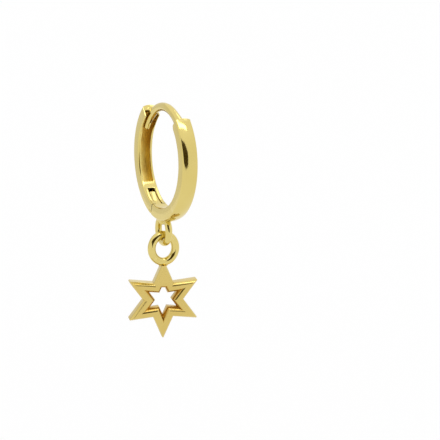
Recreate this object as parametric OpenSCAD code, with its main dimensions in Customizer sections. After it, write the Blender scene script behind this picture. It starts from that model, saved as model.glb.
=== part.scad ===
// Hinged hoop earring with an open six-pointed star hanging from it.
// Millimetres, +Z up. The hoop lies in the XZ plane: its front half faces +X, its back half -X.
// The origin is on the centre line of the ear post, at the top, where the ear lobe carries the earring.
// Angles on the hoop start at the level line through its front, and run up and over.

/* [Hoop] */
// Outside diameter of the hoop
hoop_d = 12.2; // [11:0.1:16]
// Width of the band, across the hoop
band_w = 1.55; // [1.5:0.05:2.2]
// Thickness of the band, from its inside to its outside
band_t = 1.32; // [1.22:0.02:1.6]
// Height of the dome on the outside of the band
dome_h = 0.2; // [0.1:0.01:0.24]
// Rounding of the band's edges
edge_r = 0.1; // [0.04:0.01:0.14]
// Angle of the front half's upper end
front_end_deg = 48; // [40:1:56]
// Angle of the back half's upper end
back_end_deg = 129; // [124:1:136]
// Angle of the seam between the halves
seam_deg = 255.6; // [252:0.2:258]
// Rounding of the front half's inner corner, beside the post
shoulder_r = 0.5; // [0.2:0.05:0.6]

/* [Post] */
// Diameter of the post's wire
post_d = 0.82; // [0.7:0.02:0.9]
// How far the post reaches inside the circle of the band's inner face
post_inset = 0.19; // [0.1:0.01:0.3]
// Angle of the middle of the post's round tip
post_tip_deg = 148.5; // [144:0.5:154]
// Diameter of the post's root, where it leaves the front half
post_root_d = 1.1; // [0.94:0.02:1.14]
// Angle over which the root narrows to the wire
post_root_deg = 18; // [12:1:24]
// Width of the groove along the post's inner side
groove_w = 0.22; // [0.14:0.02:0.3]
// Depth of the groove
groove_depth = 0.24; // [0.1:0.02:0.3]
// Angle of the groove's start
groove_start_deg = 114; // [110:1:120]
// Angle over which the groove runs
groove_deg = 26; // [18:1:28]

/* [Back half] */
// Thickness of the channel's outer wall
web_t = 0.3; // [0.24:0.01:0.34]
// Thickness of each side wall of the channel
side_wall = 0.27; // [0.22:0.01:0.28]
// Length of the catch lip at the upper end
lip_len = 0.36; // [0.24:0.02:0.5]
// Space between the post and the catch lip
catch_gap = 0.06; // [0.04:0.01:0.1]
// Length of the bar that closes the channel's lower end
bar_len = 0.78; // [0.5:0.02:1]
// Length of the hinge slot, from the seam to the bar
slot_len = 2.4; // [2.2:0.05:2.8]

/* [Hinge] */
// Diameter of the hinge pin
pin_d = 0.34; // [0.28:0.02:0.38]
// Radius of the knuckle round the pin
knuckle_r = 0.34; // [0.3:0.01:0.36]
// Metal left between the knuckle and the outside of the band
knuckle_cover = 0.1; // [0.06:0.01:0.14]
// Space between the knuckle and the channel's outer wall
knuckle_gap = 0.08; // [0.06:0.01:0.1]
// Width of the front half's hinge tongue
tongue_w = 0.62; // [0.5:0.02:0.7]
// Space on each side of the tongue
tongue_gap = 0.05; // [0.04:0.01:0.08]
// Space between the tongue's end and the bar
tongue_end_gap = 0.42; // [0.3:0.02:0.6]
// Space between the tongue and the channel's outer wall
tongue_floor_gap = 0.12; // [0.08:0.01:0.16]
// Space at the seam
seam_gap = 0.05; // [0.03:0.01:0.08]
// Space all round the pin in the tongue
pin_running_gap = 0.03; // [0.02:0.01:0.05]
// Space all round the pin in the back half's walls
pin_seat_gap = 0.012; // [0.01:0.002:0.02]
// Distance of the pin's ends below the side faces
pin_end_gap = 0.02; // [0.01:0.01:0.05]

/* [Loop] */
// Diameter of the wire of the loop under the hoop
loop_wire = 0.68; // [0.5:0.02:0.76]
// Radius of the loop, to the middle of its wire
loop_path_r = 1.25; // [1.1:0.05:1.5]
// How far the middle of the loop's wire lies inside the band
loop_sink = 0.3; // [0.1:0.01:0.4]
// Diameter of the solder collar between the band and the loop
collar_d = 0.92; // [0.7:0.02:1.1]
// Height of the solder collar below the band
collar_h = 0.34; // [0.24:0.02:0.5]

/* [Charm] */
// Diameter of the wire of the charm's ring
ring_wire = 0.8; // [0.6:0.02:0.9]
// Radius of the ring's rounds, to the middle of its wire
ring_path_r = 1.2; // [1.1:0.05:1.5]
// How much taller than wide the ring is
ring_stretch = 0.28; // [0.1:0.02:0.6]
// Space between the ring and the loop that it hangs on
link_gap = 0.04; // [0.03:0.01:0.06]
// Angle that the charm has turned on its loop, its face towards -Y
charm_turn = 13; // [0:1:20]
// Radius of the star to the blunt ends of its points
star_r = 3.86; // [3.4:0.02:6]
// Radius of the star to the corners between its points
star_corner_r = 2; // [1.8:0.02:2.4]
// Length that is blunted off each point
tip_blunt = 0.18; // [0.08:0.01:0.24]
// Width of the star's bars
bar_w = 0.95; // [0.7:0.01:1.05]
// Thickness of the star
star_t = 1.45; // [1:0.05:1.8]
// Rounding of the star's outer edges
star_edge_r = 0.27; // [0.12:0.01:0.3]
// Rounding of the edges of the star's opening
opening_edge_r = 0.26; // [0.06:0.01:0.3]
// Width of the upper point's flat end, where the ring is soldered on
neck_w = 0.48; // [0.36:0.02:0.6]
// How much lower the upper point ends than the others reach
neck_cut = 0.37; // [0.2:0.01:0.5]
// How far the ring is let into the upper point
neck_sink = 0.08; // [0.05:0.01:0.12]

/* [Hidden] */
$fn = 96;
gold = [0.87, 0.72, 0.38];
pin_gold = [0.74, 0.58, 0.28];
// Overrun of a cut past the face that it opens, and of a root into the metal that it grows from
past = 0.4;

hoop_r = hoop_d / 2;
inner_r = hoop_r - band_t;
dome_r = (pow(band_w / 2, 2) + pow(dome_h, 2)) / (2 * dome_h);
dome_x = hoop_r - dome_r;
// Middles of the band's rounded edges
edge_y = band_w / 2 - edge_r;
outer_edge_x = dome_x + sqrt(pow(dome_r - edge_r, 2) - pow(edge_y, 2));
inner_edge_x = inner_r + edge_r;

post_path_r = inner_r + post_d / 2 - post_inset;
groove_r = post_path_r - post_d / 2 + groove_depth;
post_root_r = (inner_r + hoop_r) / 2 - past / 2;

channel_w = band_w - 2 * side_wall;
channel_floor_r = hoop_r - web_t;
lip_r = post_path_r + post_d / 2 + catch_gap;
lip_deg = arc_deg(lip_len, hoop_r);
past_deg = arc_deg(past, inner_r);

slot_w = tongue_w + 2 * tongue_gap;
slot_end_deg = seam_deg - arc_deg(slot_len, inner_r);
channel_end_deg = slot_end_deg - arc_deg(bar_len, inner_r);
tongue_r = channel_floor_r - tongue_floor_gap;
tongue_tip_deg = slot_end_deg + arc_deg(tongue_end_gap + tongue_w / 2, inner_r);
pin_path_r = hoop_r - knuckle_cover - knuckle_r;
pin_deg = seam_deg - asin(knuckle_r / pin_path_r);
front_seam_deg = seam_deg + arc_deg(seam_gap, inner_r);

hoop_z = -post_path_r;
loop_z = hoop_z - hoop_r + loop_sink - loop_path_r;
// From the ring's middle to the middle of its wire at the top
ring_rise = ring_path_r + ring_stretch / 2;
ring_z = loop_z - loop_path_r + loop_wire / 2 + link_gap + ring_wire / 2 - ring_rise;
// Height of the upper point's end above the star's middle
neck_z = star_r - neck_cut;
// Height of the star's middle below the ring's
star_drop = ring_rise + ring_wire / 2 - neck_sink + neck_z;
// Steps of each rounded edge of the star
round_steps = 4;

// Angle of an arc of a given length
function arc_deg(length, radius) = length / radius * 180 / PI;

// Point at an angle on a circle
function on_circle(radius, deg) = radius * [cos(deg), sin(deg)];

// Height where the sides of the upper point would meet, so that its flat end is neck_w wide
function upper_tip_z() =
    let (corner = on_circle(star_corner_r, 60), share = neck_w / 2 / corner[0])
    (neck_z - share * corner[1]) / (1 - share);

// The star's sharp outline, counter-clockwise from the upper point
function star_outline() = [
    [0, upper_tip_z()],
    for (k = [1 : 11])
        on_circle(k % 2 == 0 ? star_r + tip_blunt : star_corner_r, 90 + 30 * k)
];

// Unit normal of the side from p to q, into the outline
function side_normal(p, q) = [p[1] - q[1], q[0] - p[0]] / norm(q - p);

// The outline with every side moved inwards
function inset(outline, distance) = [
    for (k = [0 : len(outline) - 1])
        let (
            before = side_normal(outline[(k + len(outline) - 1) % len(outline)], outline[k]),
            after = side_normal(outline[k], outline[(k + 1) % len(outline)])
        )
        outline[k] + distance * (before + after) / (1 + before * after)
];

// Rows [depth, distance inwards] of a rounded edge on both faces, from the back to the front
function edge_rows(radius) = [
    for (side = [-1, 1], k = [0 : round_steps])
        let (turn = 90 * (side < 0 ? k : round_steps - k) / round_steps)
        [side * (star_t / 2 - radius * (1 - cos(turn))), radius * (1 - sin(turn))]
];

// Lays what is drawn flat into the plane of the hoop, about its middle
module hoop_plane() {
    translate([0, 0, hoop_z])
        rotate([90, 0, 0])
            children();
}

// Sweeps a profile round the hoop between two angles
module arc_between(from_deg, to_deg) {
    rotate([0, 0, from_deg])
        rotate_extrude(angle = to_deg - from_deg)
            children();
}

module band_profile() {
    translate([inner_edge_x, -band_w / 2])
        square([outer_edge_x - inner_edge_x, band_w]);
    translate([inner_r, -edge_y])
        square([outer_edge_x - inner_r, 2 * edge_y]);
    for (side = [-1, 1], x = [inner_edge_x, outer_edge_x])
        translate([x, side * edge_y])
            circle(r = edge_r);
    intersection() {
        translate([dome_x, 0])
            circle(r = dome_r);
        polygon([[outer_edge_x, edge_y], [outer_edge_x, -edge_y],
            [2 * outer_edge_x - dome_x, -2 * edge_y], [2 * outer_edge_x - dome_x, 2 * edge_y]]);
    }
}

// Profile of a cut from inside the hoop outwards to a radius
module cut_profile(to_r, width) {
    translate([inner_r - past, -width / 2])
        square([to_r - inner_r + past, width]);
}

module at_pin() {
    rotate([0, 0, pin_deg])
        translate([pin_path_r, 0, 0])
            children();
}

module post() {
    arc_between(front_end_deg - past_deg, post_tip_deg)
        translate([post_path_r, 0])
            circle(d = post_d);
    translate(concat(on_circle(post_path_r, post_tip_deg), 0))
        sphere(d = post_d);
    post_root();
}

// Cone from inside the band's end to the wire
module post_root() {
    start = on_circle(post_root_r, front_end_deg - past_deg);
    end = on_circle(post_path_r, front_end_deg + post_root_deg);
    run = end - start;
    translate(concat(start, 0))
        rotate([0, 90, atan2(run[1], run[0])])
            cylinder(d1 = post_root_d, d2 = post_d, h = norm(run));
}

// Rounds off the inner corner of the band's upper end
module shoulder_cut() {
    rotate([0, 0, front_end_deg])
        translate([inner_r, 0, 0])
            difference() {
                translate([-past, -shoulder_r, -band_w])
                    cube([shoulder_r + past, shoulder_r + past, 2 * band_w]);
                translate([shoulder_r, -shoulder_r, 0])
                    cylinder(r = shoulder_r, h = 3 * band_w, center = true);
            }
}

module tongue() {
    arc_between(tongue_tip_deg, front_seam_deg + past_deg)
        translate([inner_r, -tongue_w / 2])
            square([tongue_r - inner_r, tongue_w]);
    intersection() {
        arc_between(slot_end_deg, tongue_tip_deg)
            translate([inner_r, -tongue_w])
                square([tongue_r - inner_r, 2 * tongue_w]);
        rotate([0, 90, tongue_tip_deg])
            cylinder(d = tongue_w, h = hoop_r);
    }
    at_pin()
        cylinder(r = knuckle_r, h = tongue_w, center = true);
}

module loop() {
    translate([0, 0, loop_z])
        rotate([90, 0, 0])
            rotate_extrude()
                translate([loop_path_r, 0])
                    circle(d = loop_wire);
    translate([0, 0, hoop_z - hoop_r - collar_h])
        cylinder(d = collar_d, h = collar_h + band_t / 2);
}

module front_half() {
    color(gold)
        difference() {
            union() {
                hoop_plane() {
                    difference() {
                        arc_between(front_seam_deg - 360, front_end_deg)
                            band_profile();
                        shoulder_cut();
                    }
                    post();
                    tongue();
                }
                loop();
            }
            hoop_plane() {
                arc_between(groove_start_deg, groove_start_deg + groove_deg)
                    cut_profile(groove_r, groove_w);
                at_pin()
                    cylinder(d = pin_d + 2 * pin_running_gap, h = 2 * band_w, center = true);
            }
        }
}

// Leaves an arc about the pin at the outer corner of the back half's walls
module corner_cut() {
    at_pin()
        difference() {
            translate([0, 0, -band_w])
                cube([hoop_r - pin_path_r + past, knuckle_r + past, 2 * band_w]);
            cylinder(r = knuckle_r, h = 3 * band_w, center = true);
        }
}

module back_half() {
    color(gold)
        hoop_plane()
            difference() {
                arc_between(back_end_deg, seam_deg)
                    band_profile();
                arc_between(back_end_deg + lip_deg, channel_end_deg)
                    cut_profile(channel_floor_r, channel_w);
                arc_between(back_end_deg - past_deg, back_end_deg + lip_deg + past_deg)
                    cut_profile(lip_r, channel_w);
                arc_between(slot_end_deg, seam_deg + past_deg)
                    cut_profile(channel_floor_r, slot_w);
                arc_between(pin_deg, seam_deg + past_deg)
                    cut_profile(hoop_r + past, slot_w);
                at_pin()
                    cylinder(r = knuckle_r + knuckle_gap, h = slot_w, center = true);
                at_pin()
                    cylinder(d = pin_d + 2 * pin_seat_gap, h = 2 * band_w, center = true);
                corner_cut();
            }
}

module hinge_pin() {
    color(pin_gold)
        hoop_plane()
            at_pin()
                cylinder(d = pin_d, h = band_w - 2 * pin_end_gap, center = true);
}

// The open star with rounded edges, its face towards +X
module star_plate() {
    outline = star_outline();
    outer = edge_rows(star_edge_r);
    opening = edge_rows(opening_edge_r);
    sides = len(outline);
    rows = len(outer);
    last = rows - 1;
    points = concat(
        [for (row = outer, p = inset(outline, row[1])) [row[0], p[0], p[1]]],
        [for (row = opening, p = inset(outline, bar_w - row[1])) [row[0], p[0], p[1]]]
    );
    // Number of the point k of a row, counted round the outline
    function outer_point(row, k) = row * sides + k % sides;
    function opening_point(row, k) = rows * sides + outer_point(row, k);
    faces = concat(
        [for (row = [0 : last - 1], k = [0 : sides - 1])
            [outer_point(row, k), outer_point(row + 1, k), outer_point(row + 1, k + 1),
                outer_point(row, k + 1)]],
        [for (row = [0 : last - 1], k = [0 : sides - 1])
            [opening_point(row, k), opening_point(row, k + 1), opening_point(row + 1, k + 1),
                opening_point(row + 1, k)]],
        [for (k = [0 : sides - 1])
            [outer_point(last, k + 1), outer_point(last, k), opening_point(last, k),
                opening_point(last, k + 1)]],
        [for (k = [0 : sides - 1])
            [outer_point(0, k), outer_point(0, k + 1), opening_point(0, k + 1), opening_point(0, k)]]
    );
    polyhedron(points = points, faces = faces);
}

module star() {
    difference() {
        intersection() {
            star_plate();
            rotate([0, 90, 0])
                cylinder(r = star_r, h = 2 * star_t, center = true);
        }
        translate([-star_t, -star_t, neck_z])
            cube([2 * star_t, 2 * star_t, star_t]);
    }
}

// The charm's oval ring: two half rings, joined by straight wire
module ring() {
    rotate([0, 90, 0])
        for (side = [-1, 1]) {
            translate([side * ring_stretch / 2, 0, 0])
                arc_between(90 * (1 - side) - 90, 90 * (1 - side) + 90)
                    translate([ring_path_r, 0])
                        circle(d = ring_wire);
            translate([0, side * ring_path_r, 0])
                rotate([0, 90, 0])
                    cylinder(d = ring_wire, h = ring_stretch, center = true);
        }
}

module star_charm() {
    color(gold)
        translate([0, 0, ring_z])
            rotate([0, 0, -charm_turn]) {
                ring();
                translate([0, 0, -star_drop])
                    star();
            }
}

front_half();
back_half();
hinge_pin();
star_charm();
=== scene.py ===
# %% [markdown]
# # A hinged hoop earring with a star charm
# The earring is polished yellow gold: a small hinged hoop, a curved post that closes it through the
# ear lobe, and an open six-pointed star that hangs from a loop underneath. The solids come packed
# from the workshop model, with their joints. This lesson dresses them: every piece is modelled again
# with fine, smooth curves, because polished gold is a mirror and shows the smallest flat.

# %% Load the frame
from math import asin, atan2, cos, degrees, hypot, radians, sin, sqrt, tan

import bmesh
import bpy
from mathutils import Matrix, Vector


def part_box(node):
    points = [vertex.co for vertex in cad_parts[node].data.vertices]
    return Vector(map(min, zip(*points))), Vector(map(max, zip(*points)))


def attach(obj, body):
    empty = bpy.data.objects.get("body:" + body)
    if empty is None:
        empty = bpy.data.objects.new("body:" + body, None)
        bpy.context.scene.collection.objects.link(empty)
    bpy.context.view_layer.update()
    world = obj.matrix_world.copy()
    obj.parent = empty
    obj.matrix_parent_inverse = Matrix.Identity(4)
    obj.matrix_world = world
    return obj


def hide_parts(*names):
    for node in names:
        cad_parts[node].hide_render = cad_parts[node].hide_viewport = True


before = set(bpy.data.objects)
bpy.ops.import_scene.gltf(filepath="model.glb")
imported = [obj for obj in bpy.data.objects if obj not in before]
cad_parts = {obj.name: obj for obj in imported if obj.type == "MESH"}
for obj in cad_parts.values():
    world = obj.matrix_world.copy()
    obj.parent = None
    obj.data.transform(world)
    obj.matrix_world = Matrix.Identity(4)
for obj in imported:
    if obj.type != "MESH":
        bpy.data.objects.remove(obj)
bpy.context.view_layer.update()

# %% [markdown]
# ## Sizes
# Everything is in metres, in the frame of the solids: Z up, the hoop in the XZ plane, its front half
# towards +X, and the origin on the post's centre line at the top. The large sizes are read from the
# solids' boxes. The small ones are named here in millimetres, as a goldsmith would note them.
# Angles on the hoop start at the level line through its front, and run up and over.

# %% Sizes of the hoop
MM = 0.001

back_low, back_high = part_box("back_half")
charm_low, charm_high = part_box("star_charm")

HOOP_R = -back_low.x
BAND_W = back_high.y - back_low.y
BAND_T = 1.32 * MM
INNER_R = HOOP_R - BAND_T
DOME_H = 0.2 * MM
DOME_R = ((BAND_W / 2) ** 2 + DOME_H ** 2) / (2 * DOME_H)
EDGE_R = 0.1 * MM
INNER_EDGE_R = 0.17 * MM
POST_PATH_R = 5.0 * MM
HOOP_Z = -POST_PATH_R

# Angles of the front half are counted from here, so that none of them jumps by 360
FRONT_FROM = -180
FRONT_END = 48
BACK_END = 129
SEAM = 255.6
FRONT_SEAM = 256.2 - 360
print("hoop radius %.3f mm, band %.2f by %.2f mm" % (HOOP_R / MM, BAND_W / MM, BAND_T / MM))

# %% [markdown]
# ## Finding places on the hoop
# Most pieces bend round the hoop, so a place on them is easiest to say as a distance from the hoop's
# axis and an angle. These helpers turn that into a point, and read it back from a vertex or a face.

# %% Places on the hoop
HOOP_CENTRE = Vector((0, 0, HOOP_Z))
# Turns about this axis run from the front up and over the hoop
OVER = Vector((0, -1, 0))
SAME_DEG = 0.01


def on_hoop(radius, deg, across=0.0):
    """The point at a distance from the hoop's axis, an angle, and a place across the band."""
    turn = radians(deg)
    return HOOP_CENTRE + Vector((radius * cos(turn), across, radius * sin(turn)))


def radius_of(point):
    return hypot(point.x, point.z - HOOP_Z)


def angle_of(point, start=0.0):
    """The angle of a point, counted from start to start + 360."""
    return (degrees(atan2(point.z - HOOP_Z, point.x)) - start) % 360 + start


def stands_at(item, deg, start=0.0):
    """Whether an edge or a face stands at one angle of the hoop."""
    return all(abs(angle_of(v.co, start) - deg) < SAME_DEG for v in item.verts)


def move_to_radius(vert, radius):
    vert.co = on_hoop(radius, angle_of(vert.co), vert.co.y)


def arc_deg(length, radius):
    """The angle that a length along the hoop takes up at a radius."""
    return degrees(length / radius)


def quarter_round(along, radius):
    """How far a quarter circle has drawn in after a way along it."""
    return radius - sqrt(max(0.0, radius ** 2 - along ** 2))


print("hoop's axis at z = %.2f mm" % (HOOP_Z / MM))

# %% [markdown]
# ## Finishing a piece
# A bmesh becomes an object here. Doubles are merged and the normals recalculated, since a spin can
# leave both. Faces are shaded smooth, and an edge stays crisp only where its faces meet at a real
# angle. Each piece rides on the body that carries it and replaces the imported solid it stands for.

# %% Helpers that finish a piece
CRISP = radians(32)
MERGE = 0.0004 * MM


def soften(bm, edges, radius, segments=3, clamp=True):
    """Rounds edges, as polishing does. Clamp keeps the rounding from running past its neighbours."""
    bmesh.ops.bevel(
        bm, geom=list(edges), offset=radius, offset_type="OFFSET", affect="EDGES",
        segments=segments, profile=0.5, material=-1, clamp_overlap=clamp,
    )


def make_piece(bm, name, body, node, *finishes, slot="gold"):
    """Makes an object of a bmesh. An edge marked as a seam stays crisp whatever its angle."""
    bmesh.ops.remove_doubles(bm, verts=bm.verts, dist=MERGE)
    bmesh.ops.recalc_face_normals(bm, faces=bm.faces)
    for face in bm.faces:
        face.smooth = True
    for edge in bm.edges:
        edge.smooth = len(edge.link_faces) == 2 and edge.calc_face_angle() < CRISP and not edge.seam
    open_edges = sum(len(edge.link_faces) != 2 for edge in bm.edges)
    mesh = bpy.data.meshes.new(name)
    bm.to_mesh(mesh)
    bm.free()
    for finish in finishes:
        mesh.materials.append(finish)
    piece = bpy.data.objects.new(name, mesh)
    bpy.context.scene.collection.objects.link(piece)
    # Large faces set the normals, so that flats stay flat up to their rounded edges
    flats = piece.modifiers.new("flats", "WEIGHTED_NORMAL")
    flats.weight = 100
    flats.keep_sharp = True
    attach(piece, body)
    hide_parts(node)
    print("%s: %d faces, %d open edges" % (name, len(mesh.polygons), open_edges))


print("an edge is crisp from %.0f degrees" % degrees(CRISP))

# %% [markdown]
# ## Polished gold
# The real finish is a thin layer of yellow gold, buffed on a wheel. It is a metal, so its colour is
# in its reflection. Buffing leaves hair-fine scratches that run round the piece, a faint swell in
# the surface and a gloss that is never quite even. Wear brightens the edges. All but the wear comes
# from noise on object coordinates, which stay with the piece as it moves.

# %% The colours of the gold
GOLD = (0.725, 0.59, 0.205)
GOLD_DEEP = (0.69, 0.55, 0.175)
GOLD_WORN = (0.77, 0.65, 0.27)
STAR_GOLD = (0.68, 0.52, 0.165)
STAR_DEEP = (0.64, 0.47, 0.13)
CAST_GOLD = (0.92, 0.74, 0.24)
CAST_DEEP = (0.75, 0.52, 0.12)
# Darker, redder gold for the star opening's walls and the post's groove: painted shade and painted
# reflection
PAINTED_SHADE_GOLD = (0.62, 0.41, 0.10)
PAINTED_SHADE_DEEP = (0.52, 0.32, 0.065)
# Dark tint for the top of the recess: partly polishing residue, partly painted shade
GRIME_AND_SHADE = (0.66, 0.45, 0.095)


def add_node(tree, kind, **values):
    """Adds a node, and sets its sockets or its own settings by name."""
    node = tree.nodes.new(kind)
    for key, value in values.items():
        if key in node.inputs:
            node.inputs[key].default_value = value
        else:
            setattr(node, key, value)
    return node


def map_range(tree, source, target, **settings):
    """A node that maps one range of values onto another."""
    node = add_node(tree, "ShaderNodeMapRange", **settings)
    for key, value in zip(("From Min", "From Max", "To Min", "To Max"), (*source, *target)):
        node.inputs[key].default_value = value
    return node


def mix_in(tree, share, colour, tint):
    """Mixes a tint into a colour, by a share from 0 to 1."""
    mix = add_node(tree, "ShaderNodeMix", data_type="RGBA")
    mix.inputs["B"].default_value = (*tint, 1)
    tree.links.new(share, mix.inputs["Factor"])
    tree.links.new(colour, mix.inputs["A"])
    return mix.outputs["Result"]


print("gold %s, deeper %s, worn %s" % (GOLD, GOLD_DEEP, GOLD_WORN))

# %% [markdown]
# ## Colour from place to place
# The alloy's colour drifts a little, which a slow noise gives as the share between two golds. Edges
# are rubbed bright: Pointiness is high where the surface turns outwards, so it drives the wear. The
# metal in the top of the recess is darkened upwards, partly as polishing residue where no wheel
# reaches and partly as painted shade.

# %% Tone, wear, residue and painted shade
DRIFT_NOISE = (0.30, 0.62)
DRIFT_SHARE = (0.35, 1.0)
WEAR_POINTINESS = (0.52, 0.62)
WEAR_SHARE = (0.0, 0.55)
# Heights between which the recess darkens upwards, as residue and painted shade
GRIME_AND_SHADE_HEIGHTS = (-5.7 * MM, -3.9 * MM)


def alloy_tone(tree, place, tint, deep, drift_scale):
    drift = add_node(tree, "ShaderNodeTexNoise", Scale=drift_scale, Detail=3.0)
    share = map_range(tree, DRIFT_NOISE, DRIFT_SHARE)
    tone = add_node(tree, "ShaderNodeMix", data_type="RGBA")
    tone.inputs["A"].default_value = (*deep, 1)
    tone.inputs["B"].default_value = (*tint, 1)
    tree.links.new(place, drift.inputs["Vector"])
    tree.links.new(drift.outputs["Fac"], share.inputs["Value"])
    tree.links.new(share.outputs["Result"], tone.inputs["Factor"])
    return tone.outputs["Result"]


def worn_edges(tree, colour):
    pointed = add_node(tree, "ShaderNodeNewGeometry").outputs["Pointiness"]
    share = map_range(tree, WEAR_POINTINESS, WEAR_SHARE)
    tree.links.new(pointed, share.inputs["Value"])
    return mix_in(tree, share.outputs["Result"], colour, GOLD_WORN)


# Darkens the colour upwards between two heights: polishing residue plus painted shade
def grime_and_shade_top(tree, place, colour, heights):
    split = add_node(tree, "ShaderNodeSeparateXYZ")
    share = map_range(tree, heights, (0.0, 1.0), interpolation_type="SMOOTHSTEP")
    tree.links.new(place, split.inputs["Vector"])
    tree.links.new(split.outputs["Z"], share.inputs["Value"])
    return mix_in(tree, share.outputs["Result"], colour, GRIME_AND_SHADE)


# Residue and painted shade darken the recess between these heights
print("grime from z = %.1f to %.1f mm" % tuple(height / MM for height in GRIME_AND_SHADE_HEIGHTS))

# %% [markdown]
# ## Gloss and wheel marks
# Buffing is never quite even, so a noise moves the roughness up and down. The wheel's scratches are
# a fine noise that is drawn out round the piece by its scale, and a slow noise under it gives the
# faint swell. Both only bump the surface, because they are far too small to be modelled.

# %% Gloss and wheel marks
BUFF_SCALE = 1400.0
BUFF_NOISE = (0.3, 0.7)
HAIR_SCALE = (900.0, 16000.0, 900.0)
HAIR_HEIGHT = 0.0004 * MM
SWELL_SCALE = 700.0
SWELL_HEIGHT = 0.004 * MM


def buffed_gloss(tree, place, gloss, spread):
    buff = add_node(tree, "ShaderNodeTexNoise", Scale=BUFF_SCALE, Detail=5.0, Roughness=0.6)
    rough = map_range(tree, BUFF_NOISE, (gloss - spread / 2, gloss + spread / 2))
    tree.links.new(place, buff.inputs["Vector"])
    tree.links.new(buff.outputs["Fac"], rough.inputs["Value"])
    return rough.outputs["Result"]


def wheel_marks(tree, place, swell, scratch):
    drawn = add_node(tree, "ShaderNodeMapping", Scale=HAIR_SCALE)
    hairs = add_node(tree, "ShaderNodeTexNoise", Scale=1.0, Detail=6.0, Roughness=0.7)
    slow = add_node(tree, "ShaderNodeTexNoise", Scale=SWELL_SCALE, Detail=2.0)
    swell_bump = add_node(tree, "ShaderNodeBump", Strength=swell, Distance=SWELL_HEIGHT)
    hair_bump = add_node(tree, "ShaderNodeBump", Strength=scratch, Distance=HAIR_HEIGHT)
    tree.links.new(place, drawn.inputs["Vector"])
    tree.links.new(drawn.outputs["Vector"], hairs.inputs["Vector"])
    tree.links.new(place, slow.inputs["Vector"])
    tree.links.new(slow.outputs["Fac"], swell_bump.inputs["Height"])
    tree.links.new(hairs.outputs["Fac"], hair_bump.inputs["Height"])
    tree.links.new(swell_bump.outputs["Normal"], hair_bump.inputs["Normal"])
    return hair_bump.outputs["Normal"]


print("wheel marks %.1f micrometres high" % (HAIR_HEIGHT / MM * 1000))

# %% [markdown]
# ## The finishes
# One function puts the layers together, and each part of the earring has its own mix of them. The
# recess keeps its rough casting skin, the walls of the star's opening and the post's groove are
# polished less and get a darker, redder gold that is painted shade and painted reflection, and the
# wires are the glossiest.

# %% The finishes
def gold_finish(name, gloss=0.11, gloss_spread=0.07, swell=0.35, scratch=0.16, tint=GOLD,
                deep=GOLD_DEEP, drift_scale=420.0, grime_and_shade=None):
    """Polished gold: gloss is its roughness, swell and scratch how strongly they bump.

    Grime and shade, where given, is the pair of heights between which the metal darkens upwards:
    partly polishing residue, partly painted shade."""
    material = bpy.data.materials.new(name)
    material.use_nodes = True
    tree = material.node_tree
    tree.nodes.clear()
    place = add_node(tree, "ShaderNodeTexCoord").outputs["Object"]
    colour = worn_edges(tree, alloy_tone(tree, place, tint, deep, drift_scale))
    if grime_and_shade:
        colour = grime_and_shade_top(tree, place, colour, grime_and_shade)
    shader = add_node(tree, "ShaderNodeBsdfPrincipled", Metallic=1.0)
    output = add_node(tree, "ShaderNodeOutputMaterial")
    tree.links.new(colour, shader.inputs["Base Color"])
    tree.links.new(buffed_gloss(tree, place, gloss, gloss_spread), shader.inputs["Roughness"])
    tree.links.new(wheel_marks(tree, place, swell, scratch), shader.inputs["Normal"])
    tree.links.new(shader.outputs["BSDF"], output.inputs["Surface"])
    return material


band_gold = gold_finish("band_gold", swell=0.15)
# The recess darkens towards its top: partly polishing residue, partly painted shade
recess_gold = gold_finish("recess_gold", gloss=0.42, gloss_spread=0.3, swell=3.0, scratch=1.0,
                          tint=CAST_GOLD, deep=CAST_DEEP, drift_scale=1900.0, grime_and_shade=GRIME_AND_SHADE_HEIGHTS)
wire_gold = gold_finish("wire_gold", gloss=0.08, gloss_spread=0.05)
star_gold = gold_finish("star_gold", gloss=0.13, swell=0.5, tint=STAR_GOLD, deep=STAR_DEEP)
# Its darker, redder colour is painted shade and painted reflection
painted_shade_gold = gold_finish("painted_shade_gold", gloss=0.24, gloss_spread=0.12, tint=PAINTED_SHADE_GOLD, deep=PAINTED_SHADE_DEEP)
pin_gold = gold_finish("pin_gold", gloss=0.2, tint=GOLD_DEEP)
print("finishes:", [material.name for material in bpy.data.materials])

# %% [markdown]
# ## The band's section
# Both halves are one band, cast flat inside and slightly domed outside, with softly rounded edges.
# Its outline is drawn once. Four corners make a face, a vertex bevel rounds them, the outer edge is
# cut finely and lifted to the dome, and the inner edge gets marks where walls and slots will start.
# A notch through the outside gets its places on the dome in the same way.

# %% The band's section
SECTION_R = HOOP_R - DOME_H
DOME_CUTS = 19
EDGE_STEPS = 7


def dome_rise(across):
    return sqrt(DOME_R ** 2 - across ** 2) - sqrt(DOME_R ** 2 - (BAND_W / 2) ** 2)


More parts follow.
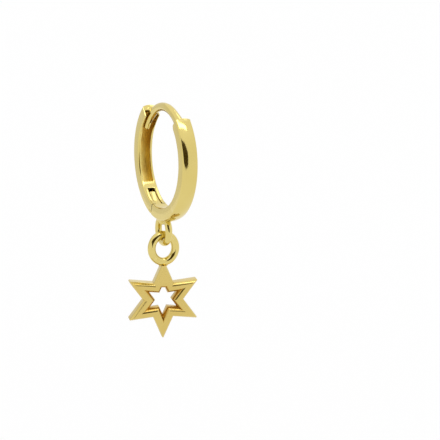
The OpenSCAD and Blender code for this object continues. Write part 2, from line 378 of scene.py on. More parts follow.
def band_section(bm, deg, marks=(), notch=()):
    """The band's outline as a ring of edges, standing at an angle of the hoop.

    Marks are places across the inner edge, and notch places across the dome, that get a vertex."""
    half = BAND_W / 2
    corners = [(INNER_R, -half), (SECTION_R, -half), (SECTION_R, half), (INNER_R, half)]
    verts = [bm.verts.new((radius, across, 0)) for radius, across in corners]
    bm.faces.new(verts)
    for pair, edge_r in ((verts[1:3], EDGE_R), ([verts[0], verts[3]], INNER_EDGE_R)):
        bmesh.ops.bevel(
            bm, geom=pair, offset=edge_r, offset_type="OFFSET", affect="VERTICES",
            segments=EDGE_STEPS, profile=0.5, material=-1, clamp_overlap=True,
        )
    outer = max(bm.edges, key=lambda edge: sum(v.co.x for v in edge.verts) + edge.calc_length())
    bmesh.ops.subdivide_edges(bm, edges=[outer], cuts=DOME_CUTS)
    for vert in bm.verts:
        share = (vert.co.x - SECTION_R + EDGE_R) / EDGE_R
        if share > 0:
            vert.co.x += share * dome_rise(vert.co.y)
    for across in notch:
        nearest = min((v for v in bm.verts if v.co.x > SECTION_R), key=lambda v: abs(v.co.y - across))
        nearest.co = Vector((SECTION_R + dome_rise(across), across, 0))
    if marks:
        inner = min(bm.edges, key=lambda edge: sum(v.co.x for v in edge.verts) - edge.calc_length())
        made = bmesh.ops.subdivide_edges(bm, edges=[inner], cuts=len(marks))
        added = [v for v in made["geom_inner"] if isinstance(v, bmesh.types.BMVert)]
        for vert, across in zip(sorted(added, key=lambda v: v.co.y), sorted(marks)):
            vert.co.y = across
    bmesh.ops.delete(bm, geom=bm.faces[:], context="FACES_ONLY")
    bmesh.ops.translate(bm, verts=bm.verts, vec=HOOP_CENTRE)
    turn_over(bm, bm.verts, deg)
    return bm.edges[:]


def turn_over(bm, verts, deg):
    """Turns vertices about the hoop's axis, from the front up and over."""
    bmesh.ops.rotate(bm, verts=verts, cent=HOOP_CENTRE, matrix=Matrix.Rotation(radians(deg), 3, OVER))


def sweep(bm, ring, here, stops, step_deg=1.0):
    """Spins a ring of edges round the hoop from one angle to each of the stops."""
    for stop in stops:
        steps = max(2, round(abs(stop - here) / step_deg))
        made = bmesh.ops.spin(
            bm, geom=ring, cent=HOOP_CENTRE, axis=OVER, angle=radians(stop - here), steps=steps,
        )
        ring = [edge for edge in made["geom_last"] if isinstance(edge, bmesh.types.BMEdge)]
        here = stop
    return ring


def close_ends(bm):
    """Fills each open end with one flat face."""
    rim = [edge for edge in bm.edges if len(edge.link_faces) == 1]
    bmesh.ops.holes_fill(bm, edges=rim, sides=0)


print("dome %.2f mm high on a radius of %.1f mm" % (DOME_H / MM, DOME_R / MM))

# %% [markdown]
# ## The front half of the band
# The front half runs from its upper end beside the post down past the loop to the seam. It is swept
# in one go. The inner corner of the upper end is filed round where the lobe sits, so the inside of
# the last few sections is drawn outwards along a quarter circle. The end's other edges are rounded
# as well: there the whole outline draws in.

# %% Front half of the band
SHOULDER_R = 0.5 * MM
END_R = 0.13 * MM
SEAM_BREAK = 0.04 * MM
SHOULDER_STEP = 0.3
END_STEP = 0.1

bm = bmesh.new()
ring = band_section(bm, FRONT_SEAM)
shoulder_start = FRONT_END - arc_deg(SHOULDER_R, INNER_R)
sweep(bm, ring, FRONT_SEAM, [shoulder_start])
round_start = FRONT_END - arc_deg(END_R, HOOP_R)
last = [edge for edge in bm.edges if stands_at(edge, shoulder_start, FRONT_FROM)]
last = sweep(bm, last, shoulder_start, [round_start], step_deg=SHOULDER_STEP)
sweep(bm, last, round_start, [FRONT_END], step_deg=END_STEP)
for vert in bm.verts:
    deg = angle_of(vert.co, FRONT_FROM)
    along = radians(deg - shoulder_start) * INNER_R
    if along > 0:
        rise = quarter_round(along, SHOULDER_R)
        depth = (HOOP_R - radius_of(vert.co)) / BAND_T
        move_to_radius(vert, radius_of(vert.co) + rise * depth)
    along = radians(deg - round_start) * HOOP_R
    if along > 0:
        drop = quarter_round(along, END_R)
        height = (radius_of(vert.co) - INNER_R) / BAND_T
        move_to_radius(vert, radius_of(vert.co) - drop * height)
        vert.co.y -= drop * vert.co.y / (BAND_W / 2)
close_ends(bm)
seam_rim = [edge for edge in bm.edges if stands_at(edge, FRONT_SEAM, FRONT_FROM)]
soften(bm, seam_rim, SEAM_BREAK)
make_piece(bm, "front_band", "front", "front_half", band_gold)

# %% [markdown]
# ## The ear post
# The post is a round wire bent to the hoop's curve. It grows out of the front half with a flared
# root, ends in a round tip inside the catch, and has a narrow groove along its inner side near the
# tip, which the catch snaps into. A circle is spun along the curve, with a stop at each end of the
# groove, and its rings are widened towards the root.

# %% Ear post
POST_R = 0.41 * MM
POST_SIDES = 48
POST_ROOT_R = 0.55 * MM
POST_ROOT_PATH = 5.19 * MM
POST_START = 43.5
POST_ROOT_END = 66
POST_ROOT_EASE = 1.6
POST_TIP = 148.5
GROOVE = (114, 140)

bm = bmesh.new()
bmesh.ops.create_circle(
    bm, cap_ends=False, radius=POST_R, segments=POST_SIDES,
    matrix=Matrix.Translation(HOOP_CENTRE + Vector((POST_PATH_R, 0, 0))),
)
turn_over(bm, bm.verts, POST_START)
ring = sweep(bm, bm.edges[:], POST_START, [POST_ROOT_END, GROOVE[0], GROOVE[1], POST_TIP])


def root_flare(deg):
    """Goes from 1 at the post's start to 0 at the end of its root, and is level there."""
    share = (deg - POST_START) / (POST_ROOT_END - POST_START)
    return (1 - min(1.0, max(0.0, share))) ** POST_ROOT_EASE


for vert in bm.verts:
    deg = angle_of(vert.co)
    flare = root_flare(deg)
    middle = on_hoop(POST_PATH_R, deg)
    swell = 1 + flare * (POST_ROOT_R / POST_R - 1)
    shifted = on_hoop(POST_PATH_R + flare * (POST_ROOT_PATH - POST_PATH_R), deg)
    vert.co = shifted + (vert.co - middle) * swell
print("post of %.2f mm wire, %.2f mm at its root" % (2 * POST_R / MM, 2 * POST_ROOT_R / MM))

# %% [markdown]
# ## The post's tip and groove
# The tip is a half ball. Rings of the wire's size are extruded one after the other and drawn in,
# and the last one stays just open until it is filled. The groove is a strip of faces sunk into the
# wire, and its faces get a darker, redder gold as painted shade. Towards the tip the wire is filed
# thinner on its far side, so that it slips into the catch.

# %% The post's tip and groove
TIP_STEPS = 10
TIP_LAST_DEG = 89.0
GROOVE_HALF_DEG = 15
GROOVE_DEPTH = 0.2 * MM
TAPER_START = 127
TAPER = 0.65

tip_middle = on_hoop(POST_PATH_R, POST_TIP)
tip_along = on_hoop(1.0, POST_TIP + 90) - HOOP_CENTRE
for step in range(1, TIP_STEPS + 1):
    before = radians(90 * (step - 1) / TIP_STEPS)
    now = radians(min(TIP_LAST_DEG, 90 * step / TIP_STEPS))
    made = bmesh.ops.extrude_edge_only(bm, edges=ring)
    verts = [v for v in made["geom"] if isinstance(v, bmesh.types.BMVert)]
    edges = [item for item in made["geom"] if isinstance(item, bmesh.types.BMEdge)]
    ring = [edge for edge in edges if all(v in verts for v in edge.verts)]
    centre = tip_middle + tip_along * POST_R * sin(before)
    for vert in verts:
        vert.co = centre + (vert.co - centre) * (cos(now) / cos(before))
    bmesh.ops.translate(bm, verts=verts, vec=tip_along * POST_R * (sin(now) - sin(before)))
close_ends(bm)


def round_post(point):
    """Angle round the post's wire, in degrees, from its inner side."""
    return degrees(atan2(point.y, POST_PATH_R - radius_of(point)))


groove = [
    face for face in bm.faces
    if GROOVE[0] < angle_of(face.calc_center_median()) < GROOVE[1]
    and abs(round_post(face.calc_center_median())) < GROOVE_HALF_DEG
]
made = bmesh.ops.extrude_face_region(bm, geom=groove)
for item in made["geom"]:
    if isinstance(item, bmesh.types.BMVert):
        move_to_radius(item, radius_of(item.co) + GROOVE_DEPTH)
    elif isinstance(item, bmesh.types.BMFace):
        # The groove's faces get the darker, redder finish: painted shade in the groove
        item.material_index = 1
bmesh.ops.delete(bm, geom=[face for face in groove if face.is_valid], context="FACES")
for vert in bm.verts:
    share = (angle_of(vert.co) - TAPER_START) / (POST_TIP - TAPER_START)
    if share > 0 and vert.co.y > 0:
        vert.co.y *= 1 - TAPER * min(1, share)
make_piece(bm, "ear_post", "front", "front_half", wire_gold, painted_shade_gold)

# %% [markdown]
# ## The hinge tongue
# Under the hoop the front half carries a narrow tongue that fills the back half's slot. Its tip is
# round, and a knuckle round the pin joins it to the hinge. A small section is swept, the edges of
# its tip are bevelled until they almost meet in a half circle, and the knuckle is a short cylinder.

# %% Hinge tongue and knuckle
TONGUE_W = 0.62 * MM
TONGUE_DEPTH = 0.42 * MM
TONGUE_TIP = 231.9
TONGUE_TIP_R = 0.97 * TONGUE_W / 2
TONGUE_SINK = 0.07 * MM
TONGUE_RIM_R = 0.03 * MM
KNUCKLE_R = 0.34 * MM
KNUCKLE_SIDES = 64
PIN_DEPTH = 0.44 * MM
PIN_PATH_R = HOOP_R - PIN_DEPTH
PIN_DEG = SEAM - degrees(asin(KNUCKLE_R / PIN_PATH_R))
ROOT_OVERLAP = 3.0

bm = bmesh.new()
tongue_low = INNER_R + TONGUE_SINK
tongue_high = HOOP_R - TONGUE_DEPTH
corners = [(tongue_low, -1), (tongue_high, -1), (tongue_high, 1), (tongue_low, 1)]
verts = [bm.verts.new((radius, side * TONGUE_W / 2, HOOP_Z)) for radius, side in corners]
bm.faces.new(verts)
bmesh.ops.delete(bm, geom=bm.faces[:], context="FACES_ONLY")
turn_over(bm, bm.verts, TONGUE_TIP)
sweep(bm, bm.edges[:], TONGUE_TIP, [SEAM + ROOT_OVERLAP])
close_ends(bm)
tip_edges = [
    edge for edge in bm.edges
    if stands_at(edge, TONGUE_TIP) and abs(edge.verts[0].co.y - edge.verts[1].co.y) < MERGE
]
soften(bm, tip_edges, TONGUE_TIP_R, segments=12)
rims = [edge for edge in bm.edges if len(edge.link_faces) == 2 and edge.calc_face_angle() > CRISP]
soften(bm, rims, TONGUE_RIM_R, segments=2)
make_piece(bm, "hinge_tongue", "front", "front_half", band_gold)

bm = bmesh.new()
pin_place = Matrix.Translation(on_hoop(PIN_PATH_R, PIN_DEG)) @ Matrix.Rotation(radians(90), 4, "X")
bmesh.ops.create_cone(
    bm, cap_ends=True, segments=KNUCKLE_SIDES, radius1=KNUCKLE_R, radius2=KNUCKLE_R,
    depth=TONGUE_W, matrix=pin_place,
)
soften(bm, [edge for edge in bm.edges if edge.calc_face_angle() > CRISP], TONGUE_RIM_R)
make_piece(bm, "hinge_knuckle", "front", "front_half", band_gold)

# %% [markdown]
# ## The back half of the band
# The back half is hollow along its inside: a recess that the post's tip drops into, with a lip at
# the top that it snaps past, a bar across, and a slot for the tongue. Its section has marks where
# the walls stand. The faces between them are pushed outwards, which leaves the walls, the bar and
# the lip in one skin. The pushes wall up the two open ends as well, so those faces are deleted.

# %% Back half of the band
SIDE_WALL = 0.27 * MM
CHANNEL_HALF = BAND_W / 2 - SIDE_WALL
SLOT_HALF = 0.36 * MM
FLOOR_T = 0.3 * MM
FLOOR_R = HOOP_R - FLOOR_T
LIP_R = 5.47 * MM
LIP_W = 0.36 * MM
LIP_END = BACK_END + arc_deg(LIP_W, HOOP_R)
SLOT_LENGTH = 2.4 * MM
SLOT_END = SEAM - arc_deg(SLOT_LENGTH, INNER_R)
BAR_W = 0.78 * MM
CHANNEL_END = SLOT_END - arc_deg(BAR_W, INNER_R)
FLAT_SLACK = 0.02 * MM
DOME_SLACK = 0.06 * MM

NOTCH = (-SLOT_HALF, SLOT_HALF)
WALL_MARKS = (-CHANNEL_HALF, -SLOT_HALF, 0, SLOT_HALF, CHANNEL_HALF)

bm = bmesh.new()
ring = band_section(bm, BACK_END, marks=WALL_MARKS, notch=NOTCH)
sweep(bm, ring, BACK_END, [LIP_END, CHANNEL_END, SLOT_END, PIN_DEG, SEAM])


def faces_between(bm, start, end, half_width, radius, slack=FLAT_SLACK):
    """Faces about a radius, between two angles, near the middle of the band."""
    found = []
    for face in bm.faces:
        middle = face.calc_center_median()
        if start < angle_of(middle) < end and abs(middle.y) < half_width:
            if abs(radius_of(middle) - radius) < slack:
                found.append(face)
    return found


def push_out(bm, faces, radius):
    """Pushes faces outwards to a radius, and leaves walls round them."""
    made = bmesh.ops.extrude_face_region(bm, geom=faces)
    for vert in [v for v in made["geom"] if isinstance(v, bmesh.types.BMVert)]:
        move_to_radius(vert, radius)
    bmesh.ops.delete(bm, geom=[face for face in faces if face.is_valid], context="FACES")


push_out(bm, faces_between(bm, BACK_END, CHANNEL_END, CHANNEL_HALF, INNER_R), LIP_R)
push_out(bm, faces_between(bm, LIP_END, CHANNEL_END, CHANNEL_HALF, LIP_R), FLOOR_R)
push_out(bm, faces_between(bm, SLOT_END, SEAM, SLOT_HALF, INNER_R), FLOOR_R)
ends = [face for face in bm.faces if stands_at(face, BACK_END) or stands_at(face, SEAM)]
bmesh.ops.delete(bm, geom=ends, context="FACES")
print("recess from %.1f to %.1f degrees, slot from %.1f" % (LIP_END, CHANNEL_END, SLOT_END))

# %% [markdown]
# ## The notch for the knuckle
# Beside the seam the slot goes right through the outside, since the knuckle turns there. The floor
# and the skin are taken out and the two rims bridged. The outer corner at the seam is then rounded
# about the pin, because it has to pass the front half as the hoop opens.

# %% Notch for the knuckle
floor_part = faces_between(bm, PIN_DEG, SEAM, SLOT_HALF, FLOOR_R)
skin_part = faces_between(bm, PIN_DEG, SEAM, SLOT_HALF, HOOP_R, slack=DOME_SLACK)
bmesh.ops.delete(bm, geom=floor_part + skin_part, context="FACES")
open_rim = [
    edge for edge in bm.edges
    if len(edge.link_faces) == 1 and not stands_at(edge, BACK_END) and not stands_at(edge, SEAM)
]
bmesh.ops.bridge_loops(bm, edges=open_rim)
for vert in bm.verts:
    along = radians(angle_of(vert.co) - PIN_DEG) * PIN_PATH_R
    height = radius_of(vert.co) - PIN_PATH_R
    if 0 < along and 0 < height:
        drop = quarter_round(along, KNUCKLE_R) / KNUCKLE_R
        move_to_radius(vert, radius_of(vert.co) - drop * height)
close_ends(bm)
print("notch from %.1f degrees to the seam" % PIN_DEG)

# %% [markdown]
# ## Rims and recess of the back half
# The inner end of the slot gets round corners, as its cutter leaves them. The recess widens towards
# the catch, which leaves its walls thin there: each wall is drawn towards the outer side, fully so
# from halfway up. The rims are then rounded so that they catch the light, and the faces inside the
# recess get its finish.

# %% Rims and recess of the back half
RIM_R = 0.035 * MM
RIM_TURN = radians(60)
SLOT_CORNER_R = 0.14 * MM
FLARE = 0.15 * MM
FLARE_END = 158
NEAR = 0.01 * MM
NEAR_DEG = 0.1
RECESS_EDGE = 0.04 * MM

bmesh.ops.remove_doubles(bm, verts=bm.verts, dist=MERGE)
bmesh.ops.recalc_face_normals(bm, faces=bm.faces)
slot_corners = [
    edge for edge in bm.edges
    if stands_at(edge, SLOT_END) and all(abs(abs(v.co.y) - SLOT_HALF) < MERGE for v in edge.verts)
    and edge.verts[0].co.y * edge.verts[1].co.y > 0
]
soften(bm, slot_corners, SLOT_CORNER_R, segments=5)
for vert in bm.verts:
    deg = angle_of(vert.co)
    in_wall = abs(vert.co.y) > CHANNEL_HALF - MERGE and radius_of(vert.co) < FLOOR_R + MERGE
    if in_wall and deg < FLARE_END:
        share = (FLARE_END - deg) / (FLARE_END - LIP_END)
        left = 1 - FLARE * min(1, 2 * share) / SIDE_WALL
        side = BAND_W / 2 if vert.co.y > 0 else -BAND_W / 2
        vert.co.y = side + (vert.co.y - side) * left
rims = [
    edge for edge in bm.edges
    if len(edge.link_faces) == 2 and edge.is_convex and edge.calc_face_angle() > RIM_TURN
    and not any(angle_of(v.co) > PIN_DEG + SAME_DEG for v in edge.verts)
]
soften(bm, rims, RIM_R, segments=2)
for face in bm.faces:
    inside = all(
        abs(v.co.y) < CHANNEL_HALF + FLARE + NEAR and radius_of(v.co) < FLOOR_R + NEAR
        and LIP_END - NEAR_DEG < angle_of(v.co) < CHANNEL_END + NEAR_DEG for v in face.verts
    )
    if inside and radius_of(face.calc_center_median()) > INNER_R + RECESS_EDGE:
        face.material_index = 1
make_piece(bm, "back_band", "back", "back_half", band_gold, recess_gold)

# %% [markdown]
# ## The hinge pin
# A plain pin goes through the walls and the knuckle. Its ends are hammered out and polished over,
# so that they show only as faint discs on the side faces: a short cone with its edges bevelled.

# %% Hinge pin
PIN_R = 0.17 * MM
PIN_SIDES = 48
PIN_RIM_R = 0.02 * MM
PIN_LONGER = 0.012 * MM

bm = bmesh.new()
bmesh.ops.create_cone(
    bm, cap_ends=True, segments=PIN_SIDES, radius1=PIN_R, radius2=PIN_R, depth=BAND_W + PIN_LONGER,
    matrix=pin_place,
)
soften(bm, [edge for edge in bm.edges if edge.calc_face_angle() > CRISP], PIN_RIM_R)
make_piece(bm, "pin", "back", "hinge_pin", pin_gold, slot="pin_gold")

# %% [markdown]
# ## The loop under the hoop
# The loop is a closed ring of round wire, soldered upright to the band, with its top sunk into it.
# A circle spun right round makes the wire, and the same helper will make the charm's ring.

# %% The loop
LOOP_R = 1.25 * MM
LOOP_WIRE_R = 0.34 * MM
LOOP_SINK = 0.3 * MM
LOOP_Z = HOOP_Z - HOOP_R + LOOP_SINK - LOOP_R
WIRE_SIDES = 40
WIRE_STEPS = 120


def wire_ring(bm, centre, radius, wire_r, axis):
    """A closed ring of round wire."""
    out = Vector((0, 0, 1))
    bmesh.ops.create_circle(bm, cap_ends=False, radius=wire_r, segments=WIRE_SIDES)
    stand = Matrix((out, axis, axis.cross(out))).transposed().to_4x4()
    bmesh.ops.transform(bm, verts=bm.verts, matrix=Matrix.Translation(centre + out * radius) @ stand)
    bmesh.ops.spin(
        bm, geom=bm.edges[:], cent=centre, axis=axis, angle=radians(360), steps=WIRE_STEPS,
        use_merge=True,
    )


bm = bmesh.new()
wire_ring(bm, Vector((0, 0, LOOP_Z)), LOOP_R, LOOP_WIRE_R, OVER)
make_piece(bm, "hanging_loop", "front", "front_half", wire_gold)

# %% [markdown]
# ## The solder collar
# A small collar of solder holds the loop. It is turned like a bead on a lathe: a profile with a
# hollow curve where the solder has crept up the band, and a round lower edge, is spun upright.

# %% The solder collar
COLLAR_R = 0.46 * MM
COLLAR_H = 0.34 * MM
COLLAR_SIDES = 64
SOLDER_CREEP = 0.16 * MM
CREEP_STEPS = 12
LOWER_STEPS = 8

bm = bmesh.new()
band_bottom = HOOP_Z - HOOP_R
profile = [(COLLAR_R + SOLDER_CREEP, band_bottom + SOLDER_CREEP)]
for step in range(CREEP_STEPS + 1):
    turn = radians(90 * step / CREEP_STEPS)
    outwards = SOLDER_CREEP * (1 - sin(turn))
    downwards = SOLDER_CREEP * (1 - cos(turn))
    profile.append((COLLAR_R + outwards, band_bottom - downwards))
for step in range(LOWER_STEPS + 1):
    turn = radians(90 * step / LOWER_STEPS)
    inwards = SOLDER_CREEP * (1 - cos(turn))
    upwards = SOLDER_CREEP * (1 - sin(turn))
    profile.append((COLLAR_R - inwards, band_bottom - COLLAR_H + upwards))
chain = [bm.verts.new((radius, 0, height)) for radius, height in profile]
for first, second in zip(chain, chain[1:]):
    bm.edges.new((first, second))
bmesh.ops.spin(
    bm, geom=bm.edges[:], cent=(0, 0, 0), axis=(0, 0, 1), angle=radians(360), steps=COLLAR_SIDES,
    use_merge=True,
)
bmesh.ops.remove_doubles(bm, verts=bm.verts, dist=MERGE)
close_ends(bm)
make_piece(bm, "solder_collar", "front", "front_half", wire_gold)

# %% [markdown]
# ## The charm's ring
# The star hangs from a thicker, slightly oval ring that links through the loop. The charm hangs
# plumb, turned a little on the loop. The ring is spun as a round one first, facing as the star does,
# and each section is then lifted or lowered a little, which keeps the wire round. It was soldered
# on a little out of the star's plane, so it is pitched and turned last. The turn is about a point
# in its upper part, which keeps its top clear of the loop.

# %% The charm's ring
CHARM_TURN = radians(13)
FACE = Vector((cos(CHARM_TURN), -sin(CHARM_TURN), 0))
SIDEWAYS = Vector((sin(CHARM_TURN), cos(CHARM_TURN), 0))
RING_R = 1.2 * MM
RING_WIRE_R = 0.4 * MM
RING_STRETCH = 0.14 * MM
RING_PITCH = radians(-3)
RING_YAW = radians(6)
RING_TURN_LIFT = 0.7 * MM
RING_RISE = RING_R + RING_STRETCH
RING_CENTRE = Vector((0, 0, charm_high.z - RING_RISE - RING_WIRE_R))

bm = bmesh.new()
wire_ring(bm, RING_CENTRE, RING_R, RING_WIRE_R, FACE)
for vert in bm.verts:
    arm = vert.co - RING_CENTRE
    vert.co.z += RING_STRETCH * sin(atan2(arm.z, arm.dot(SIDEWAYS)))
turn_point = RING_CENTRE + Vector((0, 0, RING_TURN_LIFT))
for turn, axis in ((RING_PITCH, SIDEWAYS), (RING_YAW, "Z")):
    bmesh.ops.rotate(bm, verts=bm.verts, cent=turn_point, matrix=Matrix.Rotation(turn, 3, axis))
make_piece(bm, "charm_ring", "charm", "star_charm", wire_gold)

# %% [markdown]
# ## The star's plate
# The star is cast with a star-shaped opening. A circle of twelve vertices becomes a star when every
# second one moves in, and its upper point moves so that the neck, cut across it later, comes out at
# its width. An inset draws the opening. The casting has filled the opening's upper corner, so that
# corner is cut blunt. An extrusion gives the thickness.

# %% The star's plate
STAR_T = 1.45 * MM
STAR_R = 3.86 * MM
STAR_SHARP_R = 4.04 * MM
STAR_CORNER_R = 2.0 * MM
STAR_SIDES = 12
STAR_BAR = 0.95 * MM
OPENING_TOP_W = 0.45 * MM
NECK_W = 0.48 * MM
NECK_CUT = 0.37 * MM
NECK_Z = STAR_R - NECK_CUT

bm = bmesh.new()
bmesh.ops.create_circle(bm, cap_ends=True, radius=STAR_SHARP_R, segments=STAR_SIDES)
corner_x = STAR_CORNER_R * cos(radians(60))
corner_y = STAR_CORNER_R * sin(radians(60))
share = NECK_W / 2 / corner_x
upper_sharp = (NECK_Z - share * corner_y) / (1 - share)
for vert in bm.verts:
    deg = round(degrees(atan2(vert.co.y, vert.co.x)))
    if deg == 90:
        vert.co = Vector((0, upper_sharp, 0))
    elif (deg - 90) % 60 != 0:
        vert.co = vert.co.normalized() * STAR_CORNER_R
plate = bm.faces[:]
bmesh.ops.inset_region(bm, faces=plate, thickness=STAR_BAR, use_even_offset=True, use_boundary=True)
opening = [face for face in bm.faces if len(face.verts) == STAR_SIDES]
bmesh.ops.delete(bm, geom=opening, context="FACES")
middle_verts = [v for v in bm.verts if v.co.length < STAR_CORNER_R and abs(v.co.x) < MERGE]
opening_top = max(middle_verts, key=lambda v: v.co.y)
bmesh.ops.bevel(
    bm, geom=[opening_top], offset=OPENING_TOP_W, offset_type="OFFSET", affect="VERTICES",
    segments=1, profile=0.5, material=-1,
)
made = bmesh.ops.extrude_face_region(bm, geom=bm.faces[:])
lifted = [v for v in made["geom"] if isinstance(v, bmesh.types.BMVert)]
bmesh.ops.translate(bm, verts=lifted, vec=(0, 0, STAR_T))
bmesh.ops.translate(bm, verts=bm.verts, vec=(0, 0, -STAR_T / 2))
bmesh.ops.recalc_face_normals(bm, faces=bm.faces)
print("star of %.2f mm across its points, %.2f mm thick" % (2 * STAR_R / MM, STAR_T / MM))

# %% [markdown]
# ## The star's edges and points
# Polishing has rounded the edges of the front and the back, round the outline and more so round the
# opening. The bevels come before the points are cut blunt, so that the cuts run through them
# cleanly. The upper point is cut lower, where the ring is soldered on.

# %% The star's edges and points
STAR_EDGE_R = 0.33 * MM
OPENING_EDGE_R = 0.4 * MM
TIP_BREAK = 0.045 * MM
SQUARE = radians(80)
OUTLINE_FROM = 0.9 * STAR_CORNER_R


def star_rims(bm, outer):
    """Edges round the front and the back of the outline, or of the opening."""
    found = []
    for edge in bm.edges:
        flat = abs(edge.verts[0].co.z - edge.verts[1].co.z) < MERGE
        if flat and edge.calc_face_angle() > SQUARE:
            corner = min(v.co.to_2d().length for v in edge.verts)
            if (corner > OUTLINE_FROM) == outer:
                found.append(edge)
    return found


soften(bm, star_rims(bm, outer=True), STAR_EDGE_R, segments=8)
soften(bm, star_rims(bm, outer=False), OPENING_EDGE_R, segments=6, clamp=False)
for deg in range(90, 450, 60):
    reach = NECK_Z if deg == 90 else STAR_R
    out = Vector((cos(radians(deg)), sin(radians(deg)), 0))
    cut = bmesh.ops.bisect_plane(
        bm, geom=bm.verts[:] + bm.edges[:] + bm.faces[:], dist=MERGE, plane_co=out * reach,
        plane_no=out, clear_outer=True,
    )
    rim = [item for item in cut["geom_cut"] if isinstance(item, bmesh.types.BMEdge)]
    bmesh.ops.holes_fill(bm, edges=rim, sides=0)
    if deg != 90:
        soften(bm, rim, TIP_BREAK)
print("neck %.2f mm wide at %.2f mm above the star's middle" % (NECK_W / MM, NECK_Z / MM))

# %% [markdown]
# ## The star's mitres and walls
# Where two rounded edges meet at a corner there is a mitre, and polished gold shows it as a crisp
# line, however small its angle is. Marking it as a seam keeps it so. The walls of the opening get
# their own finish, a darker, redder gold that is painted shade and painted reflection, and the star
# is then stood upright, facing as the charm does.

# %% The star's mitres and walls
MITRE = radians(3)
WALL_TILT = 0.88
JOINT_OVERLAP = 0.08 * MM
STAR_CENTRE = Vector((0, 0, RING_CENTRE.z - RING_RISE - RING_WIRE_R + JOINT_OVERLAP - NECK_Z))

bm.normal_update()
for edge in bm.edges:
    across = abs(edge.verts[0].co.z - edge.verts[1].co.z) > MERGE
    edge.seam = across and edge.calc_face_angle() > MITRE
# The opening's walls get the darker, redder finish: painted shade and painted reflection
for face in bm.faces:
    middle = face.calc_center_median()
    if abs(face.normal.z) < WALL_TILT and face.normal.to_2d().dot(middle.to_2d()) < 0:
        face.material_index = 1
stand = Matrix((SIDEWAYS, Vector((0, 0, 1)), FACE)).transposed().to_4x4()
bmesh.ops.transform(bm, verts=bm.verts, matrix=Matrix.Translation(STAR_CENTRE) @ stand)
make_piece(bm, "star", "charm", "star_charm", star_gold, painted_shade_gold)

# %% [markdown]
# ## Solder between ring and star
# A drop of solder fills the joint below the ring. It is a ball pressed flat, sunk in the neck and in
# the ring, so that only its waist shows.

# %% Solder between ring and star
FILLET_W = 0.5 * MM
FILLET_T = 0.36 * MM
FILLET_H = 0.2 * MM
FILLET_SIDES = 40

bm = bmesh.new()
bmesh.ops.create_uvsphere(bm, u_segments=FILLET_SIDES, v_segments=FILLET_SIDES // 2, radius=1)
bmesh.ops.scale(bm, verts=bm.verts, vec=(FILLET_W, FILLET_H, FILLET_T))
joint = STAR_CENTRE + Vector((0, 0, NECK_Z))
bmesh.ops.transform(bm, verts=bm.verts, matrix=Matrix.Translation(joint) @ stand)
make_piece(bm, "solder_fillet", "charm", "star_charm", wire_gold)

# %% [markdown]
# ## The camera
# The camera stands in front and to the side of the hoop, a little above it, and looks slightly past
# it, since the earring is left of the middle of the photograph. Aiming it so keeps the lens
# unshifted. Its distance and lens give the picture's small perspective.

# %% Camera
STAND_AZIMUTH = 66.1
STAND_ELEVATION = 10.08
STAND_OFF = 120 * MM
LOOK_AZIMUTH = 63.446
LOOK_ELEVATION = 12.849
LOOK_ROLL = 1.386
LENS = 101.77
SENSOR_W = 36
CLIP_START = 0.005


def back_from(azimuth, elevation):
    """The direction back to whoever looks. Azimuth 0 looks along +Y."""
    turn = radians(azimuth)
    climb = radians(elevation)
    return Vector((sin(turn) * cos(climb), -cos(turn) * cos(climb), sin(climb)))


def level_across(azimuth):
    """The level direction to the right of whoever looks."""
    return Vector((cos(radians(azimuth)), sin(radians(azimuth)), 0))


camera_data = bpy.data.cameras.new("camera")
camera_data.lens = LENS
camera_data.sensor_width = SENSOR_W
camera_data.clip_start = CLIP_START
camera = bpy.data.objects.new("camera", camera_data)
bpy.context.scene.collection.objects.link(camera)
back = back_from(LOOK_AZIMUTH, LOOK_ELEVATION)
right = Matrix.Rotation(radians(LOOK_ROLL), 3, back) @ level_across(LOOK_AZIMUTH)
aim = Matrix((right, back.cross(right), back)).transposed().to_4x4()
tripod = HOOP_CENTRE + back_from(STAND_AZIMUTH, STAND_ELEVATION) * STAND_OFF
camera.matrix_world = Matrix.Translation(tripod) @ aim
bpy.context.scene.camera = camera
print("camera at", [round(v / MM, 1) for v in camera.location], "mm")

# %% [markdown]
# ## The floor
# The photograph has no background but white. A broad pale floor lies well below the hanging
# earring.

# %% The floor
FLOOR_DROP = 30 * MM
FLOOR_SIZE = 4.0
FLOOR_WHITE = 0.95

floor_white = bpy.data.materials.new("floor_white")
floor_white.use_nodes = True
floor_shader = floor_white.node_tree.nodes["Principled BSDF"]
floor_shader.inputs["Base Color"].default_value = (FLOOR_WHITE, FLOOR_WHITE, FLOOR_WHITE, 1)
floor_shader.inputs["Roughness"].default_value = 1.0
floor_shader.inputs["Specular IOR Level"].default_value = 0.0


def stage_sheet(bm, name, finish):
    """A sheet of the studio, which isn't part of the earring."""
    mesh = bpy.data.meshes.new(name)
    bm.to_mesh(mesh)
    bm.free()
    mesh.materials.append(finish)
    sheet = bpy.data.objects.new(name, mesh)
    bpy.context.scene.collection.objects.link(sheet)
    return sheet


bm = bmesh.new()
bmesh.ops.create_grid(bm, x_segments=1, y_segments=1, size=FLOOR_SIZE)
bmesh.ops.translate(bm, verts=bm.verts, vec=(0, 0, charm_low.z - FLOOR_DROP))
stage_sheet(bm, "floor", floor_white)
print("floor at z = %.1f mm" % ((charm_low.z - FLOOR_DROP) / MM))

# %% [markdown]
# ## The tent's sky
# The earring hung in a white tent that was lit from outside, a little more from overhead. The
# world's strength climbs with the direction's height.

# %% The tent's sky
SKY_LOW = 0.98
SKY_HIGH = 1.08
SKY_CLIMB = (0.1, 0.95)

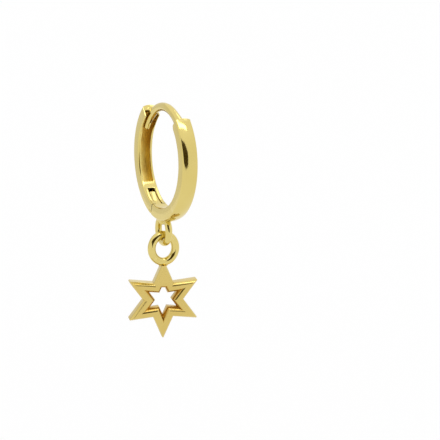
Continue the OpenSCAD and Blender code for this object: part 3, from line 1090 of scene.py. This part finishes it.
world = bpy.data.worlds.new("light_tent")
bpy.context.scene.world = world
world.use_nodes = True
tree = world.node_tree
sky = tree.nodes["Background"]
sky.inputs["Color"].default_value = (1, 1, 1, 1)
direction = add_node(tree, "ShaderNodeTexCoord").outputs["Generated"]
split = add_node(tree, "ShaderNodeSeparateXYZ")
climb = map_range(tree, SKY_CLIMB, (SKY_LOW, SKY_HIGH), interpolation_type="SMOOTHSTEP")
tree.links.new(direction, split.inputs["Vector"])
tree.links.new(split.outputs["Z"], climb.inputs["Value"])
tree.links.new(climb.outputs["Result"], sky.inputs["Strength"])
bpy.context.scene.view_settings.view_transform = "Standard"
print("sky %.2f to %.2f" % (SKY_LOW, SKY_HIGH))

# %% [markdown]
# ## Sheets that reflections see
# Polished gold shows its surroundings, so four of them are modelled as large flat sheets that only
# reflections see. The dark opening in the tent, which the camera looks through, draws the dark
# lines along the rounded edges. A softbox overhead gives the highlight at the band's upper end, a
# second one hangs high behind the earring, and a wall greyer than the tent stands far round to the
# left.

# %% Helpers for the sheets
SHEET_OFF = 200 * MM


def rectangle(width, height):
    """Corners of a sheet, in degrees right of and above its own direction."""
    corners = ((-1, -1), (1, -1), (1, 1), (-1, 1))
    return [(across * width / 2, climb * height / 2) for across, climb in corners]


def glow(name, strength, colour):
    material = bpy.data.materials.new(name)
    material.use_nodes = True
    material.node_tree.nodes.clear()
    light = add_node(material.node_tree, "ShaderNodeEmission", Color=(*colour, 1), Strength=strength)
    output = add_node(material.node_tree, "ShaderNodeOutputMaterial")
    material.node_tree.links.new(light.outputs["Emission"], output.inputs["Surface"])
    return material


def hang_sheet(name, azimuth, elevation, corners, strength, roll=0, colour=(1, 1, 1)):
    """A glowing or dark sheet that faces the earring, given by the angles it fills."""
    bm = bmesh.new()
    bm.faces.new([
        bm.verts.new((SHEET_OFF * tan(radians(across)), SHEET_OFF * tan(radians(climb)), 0))
        for across, climb in corners
    ])
    bmesh.ops.rotate(bm, verts=bm.verts, matrix=Matrix.Rotation(radians(roll), 3, "Z"))
    back = back_from(azimuth, elevation)
    level = level_across(azimuth)
    stand = Matrix((level, back.cross(level), back)).transposed().to_4x4()
    place = Matrix.Translation(HOOP_CENTRE + back * SHEET_OFF) @ stand
    bmesh.ops.transform(bm, verts=bm.verts, matrix=place)
    sheet = stage_sheet(bm, name, glow(name, strength, colour))
    sheet.visible_camera = False
    sheet.visible_shadow = False
    sheet.visible_diffuse = False
    print("%s: %.0f by %.0f mm" % (name, sheet.dimensions.x / MM, sheet.dimensions.z / MM))


print("sheets hang %.0f mm from the hoop" % (SHEET_OFF / MM))

# %% [markdown]
# ## Where the sheets hang
# A photographer would move the lamps while watching the reflections, and that is how these places
# were found. The way round the earring is counted from where the camera stands, and sizes are
# angles, because an angle is what a mirror sees. The dark opening has seven corners, so that its
# reflection can follow the outline of the streak on the band.

# %% The sheets
OPENING_AZIMUTH = STAND_AZIMUTH - 8
OPENING_ELEVATION = STAND_ELEVATION + 3
# Corners are in degrees right of and above the sheet's own direction
OPENING_CORNERS = [(-34, 9), (22, -23), (35, -19), (36, 0), (34, 12), (18, 25), (-34, 25)]
OPENING_DARK = 0.064
OPENING_COLOUR = (1.0, 0.7, 0.18)
SOFTBOX_AZIMUTH = STAND_AZIMUTH + 26.4
SOFTBOX_ELEVATION = 66.9
SOFTBOX_ROLL = -10.2
SOFTBOX_CORNERS = rectangle(43.6, 9.5)
SOFTBOX_LIGHT = 4.2
REAR_AZIMUTH = STAND_AZIMUTH + 140
REAR_ELEVATION = 60
REAR_CORNERS = rectangle(34, 16)
REAR_LIGHT = 2.2
WALL_AZIMUTH = STAND_AZIMUTH - 130
WALL_ELEVATION = 0
WALL_CORNERS = rectangle(70, 70)
WALL_LIGHT = 0.85

hang_sheet("tent_opening", OPENING_AZIMUTH, OPENING_ELEVATION, OPENING_CORNERS, OPENING_DARK,
           colour=OPENING_COLOUR)
hang_sheet("softbox", SOFTBOX_AZIMUTH, SOFTBOX_ELEVATION, SOFTBOX_CORNERS, SOFTBOX_LIGHT,
           roll=SOFTBOX_ROLL)
hang_sheet("rear_softbox", REAR_AZIMUTH, REAR_ELEVATION, REAR_CORNERS, REAR_LIGHT)
hang_sheet("grey_wall", WALL_AZIMUTH, WALL_ELEVATION, WALL_CORNERS, WALL_LIGHT)
